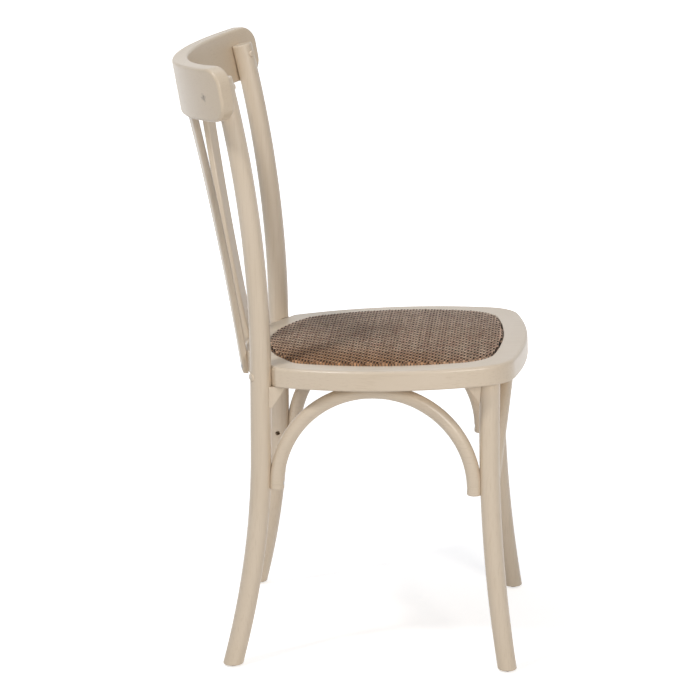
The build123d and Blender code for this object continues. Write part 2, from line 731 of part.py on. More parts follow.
# Woven panel, crowned like the top of a very large ball
crown_reach = seat_width / 2 - rim_width
crown_radius = (crown_reach**2 + panel_crown**2) / (2 * panel_crown)
crown_top = seat_point(0, (seat_front_y + seat_rear_y) / 2) + seat_up * (panel_edge_rise + panel_crown)
crown_ball = Pos(crown_top - seat_up * crown_radius) * Sphere(crown_radius)
with BuildPart() as seat_weave:
    with BuildSketch(board_plane.offset(board_thickness)):
        add(seat_outline(rim_width + panel_gap, pocket_front_radius, pocket_rear_radius))
    extrude(amount=pocket_depth - board_thickness + panel_edge_rise + 2 * panel_crown)
    add(crown_ball, mode=Mode.INTERSECT)
    fillet(seat_weave.faces().filter_by(GeomType.SPHERE).edges(), panel_arris)
write(seat_weave.part, "seat_weave")

# Seat frame: the solid rim with its pocket, ledge, flats and sockets
up_the_seat = Axis((0, 0, 0), seat_up)
with BuildPart() as seat_frame:
    with BuildSketch(seat_plane):
        add(seat_outline(0, seat_front_corner_radius, seat_rear_corner_radius))
    extrude(amount=-seat_thickness)
    fillet(seat_frame.faces().sort_by(up_the_seat)[-1].edges(), seat_top_arris)
    fillet(seat_frame.faces().sort_by(up_the_seat)[0].edges(), seat_bottom_arris)
    with BuildSketch(seat_plane):
        add(seat_outline(rim_width, pocket_front_radius, pocket_rear_radius))
    extrude(amount=-pocket_depth, mode=Mode.SUBTRACT)
    rim_top = seat_frame.faces().sort_by(up_the_seat)[-1]
    fillet(rim_top.inner_wires()[0].edges(), pocket_arris)
    with BuildSketch(seat_plane):
        add(seat_outline(rim_width + ledge_width, pocket_front_radius, pocket_rear_radius))
    extrude(amount=-seat_thickness, mode=Mode.SUBTRACT)
    with BuildSketch(seat_plane):
        for sign in (1, -1):
            pad = on_side(pad_on_plan + pad_out * slat_width / 2, sign)
            with Locations(Location(pad, -sign * degrees(slat_foot_angle))):
                Rectangle(pad_width, slat_width)
    extrude(amount=-seat_thickness, mode=Mode.SUBTRACT)
    add(both_sides([tenon_room, bolt_bore, nut_room]), mode=Mode.SUBTRACT)
    add(arch_top_bores + slat_bores + block_bores + board_bores, mode=Mode.SUBTRACT)
write(seat_frame.part, "seat_frame")

# Nylon glides under the four feet, each with a pin moulded on
feet = [on_side(foot, sign) for foot in (rear_foot, front_foot) for sign in (1, -1)]
with BuildPart() as foot_glides:
    with BuildSketch(Plane.XY):
        with Locations([(foot.X, foot.Y) for foot in feet]):
            Circle(glide_diameter / 2)
    extrude(amount=glide_height)
    fillet(foot_glides.edges().group_by(Axis.Z)[0], glide_arris)
    with BuildSketch(Plane.XY.offset(glide_height)):
        with Locations([(foot.X, foot.Y) for foot in feet]):
            Circle(glide_pin_diameter / 2)
    extrude(amount=glide_pin_length)
write(foot_glides.part, "foot_glides")
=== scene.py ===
# %% [markdown]
# # A painted bentwood chair with a woven seat
# The chair's pieces come from the CAD model, already in place and in metres. This lesson gives them
# their finishes, weaves the seat panel, and sets up a small white studio for the photograph.

# %% Load the chair
import math

import bpy
import bmesh
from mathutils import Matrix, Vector


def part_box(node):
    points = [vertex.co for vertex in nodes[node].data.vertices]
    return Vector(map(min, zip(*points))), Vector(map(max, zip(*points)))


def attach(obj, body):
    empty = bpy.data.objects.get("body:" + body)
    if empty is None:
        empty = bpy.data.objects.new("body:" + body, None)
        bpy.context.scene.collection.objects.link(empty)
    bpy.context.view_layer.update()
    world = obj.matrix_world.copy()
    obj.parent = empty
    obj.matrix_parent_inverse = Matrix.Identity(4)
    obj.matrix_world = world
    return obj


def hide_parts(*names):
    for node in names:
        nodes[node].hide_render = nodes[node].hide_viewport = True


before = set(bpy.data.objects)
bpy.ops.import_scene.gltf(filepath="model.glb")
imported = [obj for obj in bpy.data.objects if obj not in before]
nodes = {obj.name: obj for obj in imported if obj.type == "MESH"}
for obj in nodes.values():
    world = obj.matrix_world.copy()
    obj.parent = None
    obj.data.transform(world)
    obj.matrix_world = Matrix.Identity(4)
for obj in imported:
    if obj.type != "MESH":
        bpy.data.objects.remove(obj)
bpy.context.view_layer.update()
mm = 0.001

# %% [markdown]
# Colours are written the way a paint card gives them, as sRGB hex values. Shaders work in linear
# light, so one function converts. Another adds a node to any tree, with its settings and inputs, so
# that each material reads as a short list of steps. An input can be a plain value, a socket, or a
# whole node, which then stands for its first working output.

# %% Helpers


def colour(code):
    """An sRGB hex colour as linear RGBA."""
    parts = [int(code[i:i + 2], 16) / 255 for i in (1, 3, 5)]
    linear = [c / 12.92 if c <= 0.04045 else ((c + 0.055) / 1.055) ** 2.4 for c in parts]
    return (*linear, 1.0)


def feed(made, inputs):
    """Links a node's inputs, found by name or by number, or sets them to values."""
    for key, value in inputs.items():
        if isinstance(key, str):
            key = next(i for i, s in enumerate(made.inputs) if s.name == key and s.enabled)
        socket = made.inputs[key]
        if isinstance(value, bpy.types.Node):
            value = next(s for s in value.outputs if s.enabled)
        if isinstance(value, bpy.types.NodeSocket):
            made.id_data.links.new(value, socket)
        else:
            socket.default_value = value


def add(tree, kind, inputs=None, **settings):
    """A new node with its settings and its inputs."""
    made = tree.nodes.new(kind)
    for name, value in settings.items():
        setattr(made, name, value)
    feed(made, inputs or {})
    return made


def new_material(name):
    """A node material, with its tree, its shader and the place on the piece that patterns read."""
    made = bpy.data.materials.new(name)
    made.use_nodes = True
    tree = made.node_tree
    place = add(tree, "ShaderNodeTexCoord").outputs["Object"]
    return made, tree, tree.nodes["Principled BSDF"], place


print("helpers ready, white is", colour("#ffffff"))

# %% [markdown]
# ## Painted beech
# The frame is steam-bent beech under a cream satin paint. Close up, such paint isn't one flat
# colour: it is a little thicker and yellower in some places, it shows the wood's long pores as faint
# streaks, and a roller leaves a fine stipple. The streaks run along each piece, so the upright
# pieces, those that run across, and the seat get the same paint with the grain turned. The crest
# rail's paint is a shade deeper, as painted shade for its face that leans back and looks a little
# down, and it has a nail hole near its right end that was filled and has darkened. A thin satin
# varnish gives the soft lines of light on the round pieces.

# %% The filled nail hole
FILLER = colour("#6f5f4e")
FILLER_SIZE = 7.0 * mm
FILLER_RAG = 3.0 * mm
FILLER_SHOWS = 0.8
NAIL_HOLE = (-177 * mm, 194.3 * mm, 814.7 * mm)


def with_filled_hole(tree, place, paint, hole):
    """The paint with a ragged spot of darkened filler round one point."""
    ragged = add(tree, "ShaderNodeTexNoise", {
        "Vector": place, "Scale": 1 / FILLER_RAG, "Detail": 2.0})
    away = add(tree, "ShaderNodeVectorMath", {0: place, 1: hole}, operation="DISTANCE")
    reach = add(tree, "ShaderNodeMath", {0: ragged, 1: 2 * FILLER_SIZE}, operation="MULTIPLY")
    within = add(tree, "ShaderNodeMath", {0: reach, 1: away}, operation="SUBTRACT")
    spot = add(tree, "ShaderNodeMapRange", {
        "Value": within, "From Max": FILLER_SIZE, "To Max": FILLER_SHOWS})
    return add(tree, "ShaderNodeMix", {"Factor": spot, "A": paint, "B": FILLER}, data_type="RGBA")


print("filled hole at", [round(x / mm, 1) for x in NAIL_HOLE], "mm")

# %% [markdown]
# The paint could be one colour with a bump, but then every piece would look moulded. Three noises at
# real sizes do more: long thin ones for the pores, large soft ones for the mottled coat, and tiny
# ones for the stipple. The coat's gloss follows the mottling, as it does where paint lies thicker.
# Real pores and stipple are finer than a pixel of the photograph, so both are drawn as coarse as
# they need to be to show.

# %% Painted beech
PAINT = colour("#d8c8b3")
PAINT_CREST_SHADED = colour("#cebda6")
PAINT_WARM = colour("#cfbea6")
PAINT_WORN = colour("#bfac93")
PORE_ACROSS = 2.2 * mm
PORE_ALONG = 70 * mm
PORE_FROM, PORE_TO, PORE_SHOWS = 0.52, 0.78, 0.40
MOTTLE = 90 * mm
STIPPLE = 1.4 * mm
STIPPLE_DEPTH = 0.15 * mm
STIPPLE_STRENGTH = 0.12
SATIN_LOW, SATIN_HIGH = 0.30, 0.42
PAINT_IOR = 1.5
VARNISH = 0.2
VARNISH_ROUGHNESS = 0.22


def painted_beech(name, grain, paint_card=PAINT, filled_hole=None):
    """Cream satin paint over beech whose pores run along one axis, perhaps with a filled hole."""
    material, tree, shader, place = new_material(name)
    stretch = [1 / PORE_ACROSS] * 3
    stretch["XYZ".index(grain)] = 1 / PORE_ALONG
    along = add(tree, "ShaderNodeMapping", {"Vector": place, "Scale": stretch})
    pores = add(tree, "ShaderNodeTexNoise", {"Vector": along, "Scale": 1.0, "Detail": 2.0})
    mottle = add(tree, "ShaderNodeTexNoise", {"Vector": place, "Scale": 1 / MOTTLE, "Detail": 3.0})
    stipple = add(tree, "ShaderNodeTexNoise", {"Vector": place, "Scale": 1 / STIPPLE, "Detail": 1.0})
    pore_mask = add(tree, "ShaderNodeMapRange", {
        "Value": pores, "From Min": PORE_FROM, "From Max": PORE_TO, "To Max": PORE_SHOWS})
    base = add(tree, "ShaderNodeMix", {
        "Factor": mottle, "A": paint_card, "B": PAINT_WARM}, data_type="RGBA")
    paint = add(tree, "ShaderNodeMix", {
        "Factor": pore_mask, "A": base, "B": PAINT_WORN}, data_type="RGBA")
    if filled_hole:
        paint = with_filled_hole(tree, place, paint, filled_hole)
    gloss = add(tree, "ShaderNodeMapRange", {
        "Value": mottle, "To Min": SATIN_LOW, "To Max": SATIN_HIGH})
    relief = add(tree, "ShaderNodeMath", {0: stipple, 1: pores}, operation="ADD")
    bump = add(tree, "ShaderNodeBump", {
        "Height": relief, "Strength": STIPPLE_STRENGTH, "Distance": STIPPLE_DEPTH})
    feed(shader, {
        "Base Color": paint, "Roughness": gloss, "Normal": bump, "IOR": PAINT_IOR,
        "Coat Weight": VARNISH, "Coat Roughness": VARNISH_ROUGHNESS})
    return material


paint_upright = painted_beech("Painted beech, upright", "Z")
paint_across = painted_beech("Painted beech, across", "X")
paint_deep = painted_beech("Painted beech, front to back", "Y")
# The crest rail's deeper paint card is painted shade for its back-leaning face.
paint_crest = painted_beech("Painted beech, crest rail", "X", PAINT_CREST_SHADED, NAIL_HOLE)
print("paint:", [m.name for m in (paint_upright, paint_across, paint_deep, paint_crest)])

# %% [markdown]
# ## The plain parts
# Birch plywood under the seat, zinc-plated screws and nuts, and moulded nylon for the glides. Few of
# them show in the photograph, but a chair is turned over at times. All three go from one colour to
# another in marks of a typical size, so a single function makes them: long figure in the veneer,
# small spangles in the zinc, and scuffs on the nylon. Spangles and scuffs also change the gloss.

# %% Plywood, zinc and nylon
VENEER_FIGURE = (60 * mm, 3 * mm, 1.5 * mm)
SPANGLE = (1.2 * mm,) * 3
SCUFF = (2 * mm,) * 3


def two_toned(name, mark, detail, light, dark):
    """A material in two colours, whose marks have a size along X, Y and Z."""
    material, tree, shader, place = new_material(name)
    scaled = add(tree, "ShaderNodeMapping", {"Vector": place, "Scale": [1 / size for size in mark]})
    marks = add(tree, "ShaderNodeTexNoise", {"Vector": scaled, "Scale": 1.0, "Detail": detail})
    tones = add(tree, "ShaderNodeMix", {
        "Factor": marks, "A": colour(light), "B": colour(dark)}, data_type="RGBA")
    feed(shader, {"Base Color": tones})
    return material, tree, shader, marks


plywood, _, shader, _ = two_toned("Birch plywood", VENEER_FIGURE, 4.0, "#c9a87c", "#a9855a")
feed(shader, {"Roughness": 0.62})

zinc, tree, shader, marks = two_toned("Zinc-plated steel", SPANGLE, 2.0, "#b9bcbe", "#9a9da0")
dull = add(tree, "ShaderNodeMapRange", {"Value": marks, "To Min": 0.28, "To Max": 0.5})
feed(shader, {"Roughness": dull, "Metallic": 1.0})

nylon, tree, shader, marks = two_toned("Moulded nylon", SCUFF, 3.0, "#4a4038", "#2f2823")
dull = add(tree, "ShaderNodeMapRange", {"Value": marks, "To Min": 0.45, "To Max": 0.65})
feed(shader, {"Roughness": dull})
print("plain parts:", [m.name for m in (plywood, zinc, nylon)])

# %% [markdown]
# Each CAD piece gets its finish by name. The bolts and caps that show were painted with the chair.

# %% Finish the CAD pieces
FINISH = {
    "crest_rail": paint_crest,
    "front_arch": paint_across,
    "side_arch_left": paint_deep,
    "side_arch_right": paint_deep,
    "seat_frame": paint_deep,
    "seat_board": plywood,
    "foot_glides": nylon,
    "barrel_nuts": zinc,
}
for name, piece in nodes.items():
    finish = FINISH.get(name, zinc if name.endswith("screws") else paint_upright)
    for index in range(len(piece.data.materials)):
        piece.data.materials[index] = finish
print("finished:", {n: p.data.materials[0].name for n, p in nodes.items() if p.data.materials})

# %% [markdown]
# ## The woven seat
# The panel is a mat of flat rattan strips in a twill: each strip that runs across the chair goes over
# three others and dips under the fourth, and its neighbour does the same one strip further on. It
# could be a bump texture, but the dips would vanish at a low angle, so every strip is real geometry.
# The rule is the same for all strips, which makes it a job for Geometry Nodes. One tree serves both
# directions, so all its sizes are inputs.

# %% The weaving tree and its inputs
weaving = bpy.data.node_groups.new("Woven strips", "GeometryNodeTree")
INPUTS = (
    ("Panel", "Object"), ("Centre", "Vector"), ("Along", "Vector"), ("Across", "Vector"),
    ("Pitch", "Float"), ("Count", "Int"), ("Cross Pitch", "Float"), ("Cross Count", "Int"),
    ("Lift", "Float"), ("Width", "Float"), ("Thickness", "Float"), ("Sink", "Float"),
    ("Overrun", "Float"), ("Calm Ends", "Float"), ("Dot From", "Float"), ("Dot To", "Float"),
    ("Edge Mark", "Float"), ("Samples", "Int"), ("Seed", "Int"), ("Material", "Material"),
)
for name, kind in INPUTS:
    weaving.interface.new_socket(name, in_out="INPUT", socket_type="NodeSocket" + kind)
weaving.interface.new_socket("Geometry", in_out="OUTPUT", socket_type="NodeSocketGeometry")
given = add(weaving, "NodeGroupInput").outputs
panel_form = add(weaving, "GeometryNodeObjectInfo", {"Object": given["Panel"]}).outputs["Geometry"]
here = add(weaving, "GeometryNodeInputPosition")
print("weaving tree:", len(INPUTS), "inputs")

# %% [markdown]
# The strips start as a row of points through the panel's middle, one for each strip. The row is
# centred, so that it stays in place when the count changes.

# %% A row of points
steps = add(weaving, "ShaderNodeMath", {0: given["Count"], 1: 1.0}, operation="SUBTRACT")
row_length = add(weaving, "ShaderNodeMath", {0: steps, 1: given["Pitch"]}, operation="MULTIPLY")
half_back = add(weaving, "ShaderNodeMath", {0: row_length, 1: -0.5}, operation="MULTIPLY")
to_first = add(weaving, "ShaderNodeVectorMath", {
    0: given["Across"], "Scale": half_back}, operation="SCALE")
first = add(weaving, "ShaderNodeVectorMath", {0: given["Centre"], 1: to_first}, operation="ADD")
step = add(weaving, "ShaderNodeVectorMath", {
    0: given["Across"], "Scale": given["Pitch"]}, operation="SCALE")
row = add(weaving, "GeometryNodeMeshLine", {
    "Count": given["Count"], "Start Location": first, "Offset": step})
print("row of points:", len(weaving.nodes), "nodes so far")

# %% [markdown]
# The panel is rounded, so every strip has its own length. From each point a ray goes out both ways
# until it meets the panel's edge from inside. The two hits are kept with the point, and so is the
# strip's number. A strip may run a little past the edge, or stop short of it.

# %% Find the panel's edge
EDGE_RAY = 1000 * mm
backwards = add(weaving, "ShaderNodeVectorMath", {0: given["Along"], "Scale": -1.0}, operation="SCALE")
kept = row
for name, way in (("strip_start", backwards.outputs["Vector"]), ("strip_end", given["Along"])):
    ray = add(weaving, "GeometryNodeRaycast", {
        "Target Geometry": panel_form, "Source Position": here,
        "Ray Direction": way, "Ray Length": EDGE_RAY})
    past = add(weaving, "ShaderNodeVectorMath", {0: way, "Scale": given["Overrun"]}, operation="SCALE")
    end = add(weaving, "ShaderNodeVectorMath", {
        0: ray.outputs["Hit Position"], 1: past}, operation="ADD")
    kept = add(weaving, "GeometryNodeStoreNamedAttribute", {
        "Geometry": kept, "Name": name, "Value": end}, data_type="FLOAT_VECTOR", domain="POINT")
number = add(weaving, "GeometryNodeInputIndex")
kept = add(weaving, "GeometryNodeStoreNamedAttribute", {
    "Geometry": kept, "Name": "strip_number", "Value": number}, data_type="FLOAT", domain="POINT")
print("edges found:", len(weaving.nodes), "nodes so far")

# %% [markdown]
# A finely divided line is put on every point, and its points are then spread evenly between the two
# hits. The share of the way along each line does that, and is used again for the strips' ends.

# %% A line for each strip
line = add(weaving, "GeometryNodeCurvePrimitiveLine")
fine = add(weaving, "GeometryNodeResampleCurve", {
    "Curve": line, "Count": given["Samples"]}, mode="COUNT")
placed = add(weaving, "GeometryNodeInstanceOnPoints", {"Points": kept, "Instance": fine})
lines = add(weaving, "GeometryNodeRealizeInstances", {"Geometry": placed})
start, end = (
    add(weaving, "GeometryNodeInputNamedAttribute", {"Name": name}, data_type="FLOAT_VECTOR")
    for name in ("strip_start", "strip_end"))
share = add(weaving, "GeometryNodeSplineParameter").outputs["Factor"]
flat = add(weaving, "ShaderNodeMix", {"Factor": share, "A": start, "B": end}, data_type="VECTOR")
laid = add(weaving, "GeometryNodeSetPosition", {"Geometry": lines, "Position": flat})
print("lines laid:", len(weaving.nodes), "nodes so far")

# %% [markdown]
# Now the twill. Counted in crossing strips, each strip dips once in every repeat of four, one
# crossing further on than its neighbour. A cosine gives the rhythm, and a power makes the dip short
# and the stretch over the other three strips long and flat.

# %% Where each strip dips
TWILL_REPEAT = 4
DIP_SHARPNESS = 2.5
away = add(weaving, "ShaderNodeVectorMath", {0: here, 1: given["Centre"]}, operation="SUBTRACT")
travel = add(weaving, "ShaderNodeVectorMath", {0: away, 1: given["Along"]}, operation="DOT_PRODUCT")
crossing = add(weaving, "ShaderNodeMath", {0: travel, 1: given["Cross Pitch"]}, operation="DIVIDE")
cross_steps = add(weaving, "ShaderNodeMath", {0: given["Cross Count"], 1: 1.0}, operation="SUBTRACT")
cross_half = add(weaving, "ShaderNodeMath", {0: cross_steps, 1: 0.5}, operation="MULTIPLY")
counted = add(weaving, "ShaderNodeMath", {0: crossing, 1: cross_half}, operation="ADD")
strip_number = add(weaving, "GeometryNodeInputNamedAttribute", {
    "Name": "strip_number"}, data_type="FLOAT")
turn = add(weaving, "ShaderNodeMath", {0: counted, 1: strip_number}, operation="SUBTRACT")
angle = add(weaving, "ShaderNodeMath", {0: turn, 1: math.tau / TWILL_REPEAT}, operation="MULTIPLY")
rhythm = add(weaving, "ShaderNodeMath", {0: angle}, operation="COSINE")
hollow = add(weaving, "ShaderNodeMath", {0: rhythm, 1: -0.5, 2: 0.5}, operation="MULTIPLY_ADD")
dip = add(weaving, "ShaderNodeMath", {0: hollow, 1: DIP_SHARPNESS}, operation="POWER")
print("dips: one in", TWILL_REPEAT, "crossings")

# %% [markdown]
# The panel is crowned, so each point drops on its top along a ray from above. There it is lifted
# between dips and lowered in them. Near a strip's ends the weave calms down, because the ends lie
# flat in the seat's pocket.

# %% Drop the strips on the crowned top
DROP_FROM = 50 * mm
DROP_RAY = 100 * mm
above = add(weaving, "ShaderNodeVectorMath", {0: here, 1: (0, 0, DROP_FROM)}, operation="ADD")
drop = add(weaving, "GeometryNodeRaycast", {
    "Target Geometry": panel_form, "Source Position": above,
    "Ray Direction": (0, 0, -1), "Ray Length": DROP_RAY})
wave = add(weaving, "ShaderNodeMath", {0: dip, 1: -2.0, 2: 1.0}, operation="MULTIPLY_ADD")
rest = add(weaving, "ShaderNodeMath", {0: 1.0, 1: share}, operation="SUBTRACT")
to_end = add(weaving, "ShaderNodeMath", {0: share, 1: rest}, operation="MINIMUM")
calm = add(weaving, "ShaderNodeMapRange", {"Value": to_end, "From Max": given["Calm Ends"]})
calmed = add(weaving, "ShaderNodeMath", {0: wave, 1: calm}, operation="MULTIPLY")
lift = add(weaving, "ShaderNodeMath", {0: calmed, 1: given["Lift"]}, operation="MULTIPLY")
height = add(weaving, "ShaderNodeMath", {0: lift, 1: given["Sink"]}, operation="SUBTRACT")
raise_by = add(weaving, "ShaderNodeCombineXYZ", {"Z": height})
on_top = add(weaving, "ShaderNodeVectorMath", {
    0: drop.outputs["Hit Position"], 1: raise_by}, operation="ADD")
woven = add(weaving, "GeometryNodeSetPosition", {
    "Geometry": laid, "Selection": drop.outputs["Is Hit"], "Position": on_top})
print("strips dropped:", len(weaving.nodes), "nodes so far")

# %% [markdown]
# The material can't know which strip it is on or where a dip lies, so two numbers go along with the
# strips: a tone for each of them, drawn at random with a fixed seed, and painted shade in the dips.

# %% Tones and painted dip shade
tone = add(weaving, "FunctionNodeRandomValue", {
    "ID": strip_number, "Seed": given["Seed"]}, data_type="FLOAT")
toned = add(weaving, "GeometryNodeStoreNamedAttribute", {
    "Geometry": woven, "Name": "strip_tone", "Value": tone}, data_type="FLOAT", domain="POINT")
# The dark dots are painted shade: where a strip dives under its neighbour, shade falls.
dip_shade = add(weaving, "ShaderNodeMapRange", {
    "Value": dip, "From Min": given["Dot From"], "From Max": given["Dot To"]})
shown_dip_shade = add(weaving, "ShaderNodeMath", {0: dip_shade, 1: calm}, operation="MULTIPLY")
dip_shaded = add(weaving, "GeometryNodeStoreNamedAttribute", {
    "Geometry": toned, "Name": "strip_dot", "Value": shown_dip_shade}, data_type="FLOAT", domain="POINT")
print("tones and dots:", len(weaving.nodes), "nodes so far")

# %% [markdown]
# A split of peel is flat with sloped edges. Its section is a six-sided ring, a little narrower than
# the width that is asked for, so that neighbours don't touch. A third number marks its edges, where
# wear shows first. The section is swept along each strip with its flat side up.

# %% Section and sweep
TIP_SHARE = 0.42
HALF = 0.5
ring = add(weaving, "GeometryNodeCurvePrimitiveCircle", {"Resolution": 6, "Radius": HALF})
corner = add(weaving, "ShaderNodeSeparateXYZ", {"Vector": here}).outputs
side = add(weaving, "ShaderNodeMath", {0: corner["X"], 1: TIP_SHARE / HALF}, operation="MULTIPLY")
outward = add(weaving, "ShaderNodeMath", {0: side}, operation="ABSOLUTE")
is_edge = add(weaving, "ShaderNodeMapRange", {
    "Value": outward, "From Min": TIP_SHARE / 2, "From Max": HALF})
edge_mark = add(weaving, "ShaderNodeMath", {0: is_edge, 1: given["Edge Mark"]}, operation="MULTIPLY")
marked = add(weaving, "GeometryNodeStoreNamedAttribute", {
    "Geometry": ring, "Name": "strip_edge", "Value": edge_mark}, data_type="FLOAT", domain="POINT")
across = add(weaving, "ShaderNodeMath", {0: side, 1: given["Width"]}, operation="MULTIPLY")
deep = add(weaving, "ShaderNodeMath", {0: corner["Y"], 1: given["Thickness"]}, operation="MULTIPLY")
corner_place = add(weaving, "ShaderNodeCombineXYZ", {"X": across, "Y": deep})
section = add(weaving, "GeometryNodeSetPosition", {"Geometry": marked, "Position": corner_place})
upright = add(weaving, "GeometryNodeSetCurveNormal", {"Curve": dip_shaded}, mode="Z_UP")
swept = add(weaving, "GeometryNodeCurveToMesh", {
    "Curve": upright, "Profile Curve": section, "Fill Caps": True})
solid = add(weaving, "GeometryNodeRealizeInstances", {"Geometry": swept})
finished = add(weaving, "GeometryNodeSetMaterial", {
    "Geometry": solid, "Material": given["Material"]})
add(weaving, "NodeGroupOutput", {"Geometry": finished})
print("weaving tree:", len(weaving.nodes), "nodes")

# %% [markdown]
# Rattan is a vine. Its peel is flat, tough and a little glossy, grey-brown where it has aged, redder
# in some places, honey-coloured along the seat's right edge, most of all towards the rear, and
# paler towards its left. Each strip came from another stem, so each has its own tone. Wear has
# paled the flat parts and the edges. The dips are darkened with painted shade, which gives the pale
# net with dark dots. The colours are laid over each other, each through its own mask.

# %% Where the peel changes colour
PATCH = 55 * mm
BLUSH = 14 * mm
FLECK = 5 * mm
FIBRE = 0.8 * mm
HONEY_SHEAR = -0.3
HONEY_WANDER = 80 * mm
HONEY_FROM, HONEY_TO = -125 * mm, 5 * mm
PALER_FROM, PALER_TO = -40 * mm, 160 * mm
RED_SHOWS, HONEY_SHOWS, PALER_SHOWS, GRIME_SHOWS = 0.6, 0.8, 0.55, 0.45
rattan, tree, shader, place = new_material("Rattan peel")
tone, dip_shade, edge = (
    add(tree, "ShaderNodeAttribute", attribute_name=name).outputs["Fac"]
    for name in ("strip_tone", "strip_dot", "strip_edge"))
patch, blush, fleck, fibre = (
    add(tree, "ShaderNodeTexNoise", {"Vector": place, "Scale": 1 / size, "Detail": 2.0})
    for size in (PATCH, BLUSH, FLECK, FIBRE))
red = add(tree, "ShaderNodeMapRange", {
    "Value": blush, "From Min": 0.45, "From Max": 0.65, "To Max": RED_SHOWS})
spot = add(tree, "ShaderNodeSeparateXYZ", {"Vector": place}).outputs
sheared = add(tree, "ShaderNodeMath", {
    0: spot["Y"], 1: HONEY_SHEAR, 2: spot["X"]}, operation="MULTIPLY_ADD")
wander = add(tree, "ShaderNodeMath", {
    0: patch, 1: HONEY_WANDER, 2: sheared}, operation="MULTIPLY_ADD")
honey = add(tree, "ShaderNodeMapRange", {
    "Value": wander, "From Min": HONEY_FROM, "From Max": HONEY_TO,
    "To Min": HONEY_SHOWS, "To Max": 0.0}, interpolation_type="SMOOTHSTEP")
# The peel turns paler towards the seat's left, along X.
paler_leftwards = add(tree, "ShaderNodeMapRange", {
    "Value": spot["X"], "From Min": PALER_FROM, "From Max": PALER_TO, "To Max": PALER_SHOWS})
grime = add(tree, "ShaderNodeMapRange", {
    "Value": fleck, "From Min": 0.52, "From Max": 0.75, "To Max": GRIME_SHOWS})
print("rattan masks:", len(tree.nodes), "nodes")

# %% [markdown]
# The worn edges and the painted shade of the dips come last, so that they lie over everything else.
# The painted shade fades where it meets an edge. The fibres of the peel are a small bump, coarser
# than real ones, to show.

# %% Rattan peel
EDGE_PALES = 0.4
FIBRE_DEPTH = 0.2 * mm
FIBRE_STRENGTH = 0.3
PEEL_SHEEN = 0.11
pale = add(tree, "ShaderNodeMath", {0: edge, 1: EDGE_PALES}, operation="MULTIPLY")
unworn = add(tree, "ShaderNodeMath", {0: 1.0, 1: edge}, operation="SUBTRACT")
dark = add(tree, "ShaderNodeMath", {0: dip_shade, 1: unworn}, operation="MULTIPLY")
peel = add(tree, "ShaderNodeMix", {
    "Factor": tone, "A": colour("#f3d6bb"), "B": colour("#c6a890")}, data_type="RGBA")
# The last layer, #120803, is the painted shade in the dips.
LAYERS = (
    (red, "#c09580"), (honey, "#b98558"), (paler_leftwards, "#d8c5b6"),
    (grime, "#6b523f"), (pale, "#f8e6d4"), (dark, "#120803"))
for mask, shade in LAYERS:
    peel = add(tree, "ShaderNodeMix", {
        "Factor": mask, "A": peel, "B": colour(shade)}, data_type="RGBA")
bump = add(tree, "ShaderNodeBump", {
    "Height": fibre, "Strength": FIBRE_STRENGTH, "Distance": FIBRE_DEPTH})
dull = add(tree, "ShaderNodeMapRange", {"Value": fleck, "To Min": 0.55, "To Max": 0.75})
feed(shader, {
    "Base Color": peel, "Roughness": dull, "Normal": bump, "Specular IOR Level": PEEL_SHEEN})
print("rattan:", len(tree.nodes), "nodes")

# %% [markdown]
# The rays that look for the panel's edge start inside the panel, a little under the seat's rim, and
# the row of points follows the slope of the seat, which falls towards the rear.

# %% Measure the panel
panel = nodes["seat_weave"]
panel_low, panel_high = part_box("seat_weave")
SEAT_HEIGHT = 433.5 * mm
SLOPE = math.tan(math.radians(2.2))
UNDER_RIM = 2 * mm
REAR_GAP = 1.0 * mm
middle_y = (panel_low.y + panel_high.y) / 2
rim_height = SEAT_HEIGHT - SLOPE * middle_y
centre = Vector((0, middle_y - REAR_GAP, rim_height - UNDER_RIM))
down_the_seat = Vector((0, 1, -SLOPE)).normalized()
print("panel:", [round(x / mm, 1) for x in panel_high - panel_low], "mm")

# %% [markdown]
# The two sets of strips share the tree. The first runs across the chair on a 4.5 mm pitch, the
# second from front to back along the seat's slope, a little closer. Their dips are opposite, so where
# a strip of the first set dips, one of the second set comes up over it. The evaluated result becomes
# a plain mesh, because the finished chair carries no modifiers.

# %% Weave the seat
PITCH = 4.5 * mm
CROSS_PITCH = 3.65 * mm
STRIP_COUNT = 75
CROSS_COUNT = 93


def woven_set(name, inputs):
    """One set of strips as a plain mesh object."""
    source = bpy.data.objects.new(name + "_source", bpy.data.meshes.new(name + "_source"))
    bpy.context.scene.collection.objects.link(source)
    modifier = source.modifiers.new("weave", "NODES")
    modifier.node_group = weaving
    for item in weaving.interface.items_tree:
        if item.in_out == "INPUT":
            modifier[item.identifier] = inputs[item.name]
    shown = source.evaluated_get(bpy.context.evaluated_depsgraph_get())
    mesh = bpy.data.meshes.new_from_object(shown)
    bpy.data.objects.remove(source)
    made = bpy.data.objects.new(name, mesh)
    mesh.name = name
    bpy.context.scene.collection.objects.link(made)
    return made


